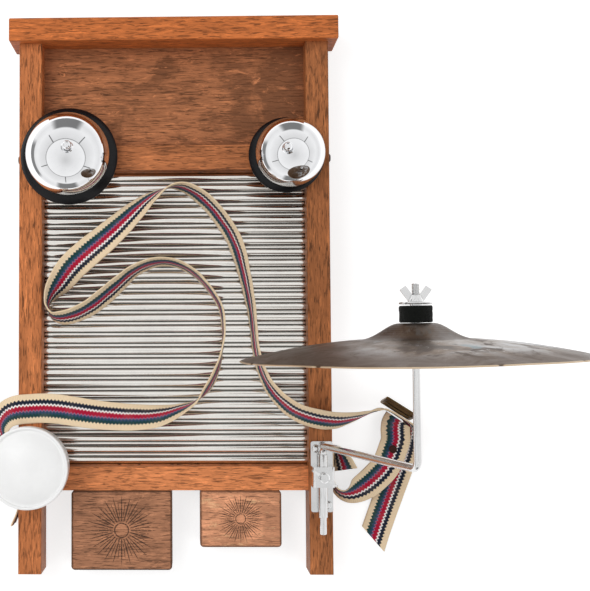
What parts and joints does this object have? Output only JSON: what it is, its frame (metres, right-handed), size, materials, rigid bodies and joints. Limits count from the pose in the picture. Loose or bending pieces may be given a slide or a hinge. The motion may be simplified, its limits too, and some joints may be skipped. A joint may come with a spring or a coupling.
{
  "type": "washboard frottoir",
  "caption": "Wooden washboard frottoir with a ribbed steel sheet, desk bells, a cymbal on a cranked arm, a slip-lid tin, tone blocks and a striped webbing strap.",
  "frame": {"origin": "middle of the top cap's back face, in the plane that the board's back lies in", "axes": "+X across the board towards the cymbal, +Y up the board towards the cap, +Z out of its front"},
  "size_m": [0.4635, 0.4826, 0.3291],
  "materials": {
    "oiled_wood": "open-grained reddish hardwood with an oil finish",
    "dark_panel_wood": "dark stained hardwood",
    "dark_block_wood": "dark brown hardwood with an engraved ray burst",
    "pale_block_wood": "pinkish hardwood with an engraved ray burst",
    "ribbed_steel": "pressed and polished stainless sheet",
    "dark_steel": "dark bronzed screws",
    "zinc_steel": "bright zinc and nickel plate",
    "cymbal_bronze": "patchy, lathed, tarnished bronze",
    "black_felt": "pressed black felt",
    "tin_plate": "bright spun aluminium",
    "striped_webbing": "woven webbing with lengthwise stripes",
    "aged_brass": "aged brass",
    "bell_chrome": "mirror chrome",
    "black_paint": "gloss black enamel"
  },
  "bodies": {
    "board": {"top_cap": "oiled_wood", "left_stile": "oiled_wood", "right_stile": "oiled_wood", "top_panel": "dark_panel_wood", "upper_cross_rail": "oiled_wood", "bottom_rail": "oiled_wood", "ribbed_sheet": "ribbed_steel", "cap_screws": "dark_steel", "side_screws": "dark_steel", "bell_standoffs": "zinc_steel", "bell_screws": "zinc_steel", "hammer_pins": "zinc_steel", "clamp_plate": "zinc_steel", "clamp_screws": "zinc_steel", "clamp_saddle": "zinc_steel", "tin_cup": "tin_plate", "tin_screw": "zinc_steel", "large_tone_block": "dark_block_wood", "small_tone_block": "pale_block_wood", "block_dowels": "oiled_wood", "strap_anchor": "striped_webbing", "strap_fasteners": "aged_brass", "slide_buckle": "aged_brass", "strap_left_loop": "striped_webbing", "strap_left_run": "striped_webbing", "strap_inner_arch": "striped_webbing", "strap_fold": "striped_webbing", "strap_outer_rise": "striped_webbing", "strap_outer_fall": "striped_webbing", "strap_right_run": "striped_webbing", "strap_tail": "striped_webbing", "left_bell_base": "black_paint", "left_bell_cover": "zinc_steel", "left_bell_bridge": "zinc_steel", "left_bell_bushing": "zinc_steel", "left_bell_gong": "bell_chrome", "left_bell_collar_nut": "zinc_steel", "left_bell_spring": "zinc_steel", "right_bell_base": "black_paint", "right_bell_cover": "zinc_steel", "right_bell_bridge": "zinc_steel", "right_bell_bushing": "zinc_steel", "right_bell_gong": "bell_chrome", "right_bell_collar_nut": "zinc_steel", "right_bell_spring": "zinc_steel"},
    "sleeve": {"clamp_sleeve": "zinc_steel"},
    "arm": {"arm_rod": "zinc_steel", "cymbal_seat": "zinc_steel"},
    "felts": {"lower_felt": "black_felt", "upper_felt": "black_felt"},
    "cymbal": {"cymbal": "cymbal_bronze"},
    "washer": {"top_washer": "zinc_steel"},
    "nut": {"wing_nut": "zinc_steel"},
    "pad": {"clamp_pad": "zinc_steel"},
    "bolt": {"wing_bolt": "zinc_steel"},
    "tin_lid": {"tin_lid": "tin_plate"},
    "left_plunger": {"left_bell_plunger": "zinc_steel"},
    "left_hammer": {"left_bell_hammer": "zinc_steel"},
    "right_plunger": {"right_bell_plunger": "zinc_steel"},
    "right_hammer": {"right_bell_hammer": "zinc_steel"}
  },
  "joints": [
    {"name": "arm_swivel", "type": "hinge", "parent": "board", "child": "sleeve", "pos_m": [0.1261, -0.36245, 0.0438], "axis": [0, 1, 0], "range_deg": [-45, 35]},
    {"name": "arm_slide", "type": "slide", "parent": "sleeve", "child": "arm", "axis": [0, 1, 0], "range_m": [0, 0.008]},
    {"name": "cymbal_rock", "type": "hinge", "parent": "arm", "child": "felts", "pos_m": [0.1757, -0.26195, 0.203], "axis": [0.9999, 0.0131, 0], "range_deg": [-2, 2], "stiffness_Nm_per_rad": 8},
    {"name": "cymbal_spin", "type": "hinge", "parent": "felts", "child": "cymbal", "pos_m": [0.1757, -0.26195, 0.203], "axis": [-0.0131, 0.9994, 0.0314], "continuous": true},
    {"name": "washer_lift", "type": "slide", "parent": "arm", "child": "washer", "axis": [0, 1, 0], "range_m": [0, 0.005]},
    {"name": "wing_nut_turn", "type": "hinge", "parent": "washer", "child": "nut", "pos_m": [0.1757, -0.26195, 0.203], "axis": [0, 1, 0], "range_deg": [0, 1800]},
    {"name": "pad_lift", "type": "slide", "parent": "board", "child": "pad", "axis": [0, 0, 1], "range_m": [0, 0.0016]},
    {"name": "wing_bolt_turn", "type": "hinge", "parent": "pad", "child": "bolt", "pos_m": [0.1261, -0.388, 0.0438], "axis": [0, 0, 1], "range_deg": [0, 720]},
    {"name": "tin_lid_lift", "type": "slide", "parent": "board", "child": "tin_lid", "axis": [0, 0, 1], "range_m": [0, 0.04]},
    {"name": "left_plunger_press", "type": "slide", "parent": "board", "child": "left_plunger", "axis": [-0.0835, -0.0629, -0.9945], "range_m": [0, 0.003], "stiffness_N_per_m": 300, "springref_m": -0.001, "deforming": ["left_bell_spring"]},
    {"name": "left_hammer_swing", "type": "hinge", "parent": "board", "child": "left_hammer", "pos_m": [-0.09577, -0.11366, 0.05459], "axis": [-0.6018, 0.7986, 0], "range_deg": [0, 31.52]},
    {"name": "right_plunger_press", "type": "slide", "parent": "board", "child": "right_plunger", "axis": [0.1564, 0, -0.9877], "range_m": [0, 0.003], "stiffness_N_per_m": 300, "springref_m": -0.001, "deforming": ["right_bell_spring"]},
    {"name": "right_hammer_swing", "type": "hinge", "parent": "board", "child": "right_hammer", "pos_m": [0.10559, -0.11055, 0.05486], "axis": [0, -1, 0], "range_deg": [0, 31.52]}
  ],
  "couplings": [
    {"joint": "wing_nut_turn", "follows": "washer_lift", "rad_per_m": 6283.2},
    {"joint": "wing_bolt_turn", "follows": "pad_lift", "rad_per_m": 7854},
    {"joint": "left_hammer_swing", "follows": "left_plunger_press", "rad_per_m": 183.33},
    {"joint": "right_hammer_swing", "follows": "right_plunger_press", "rad_per_m": 183.33}
  ]
}
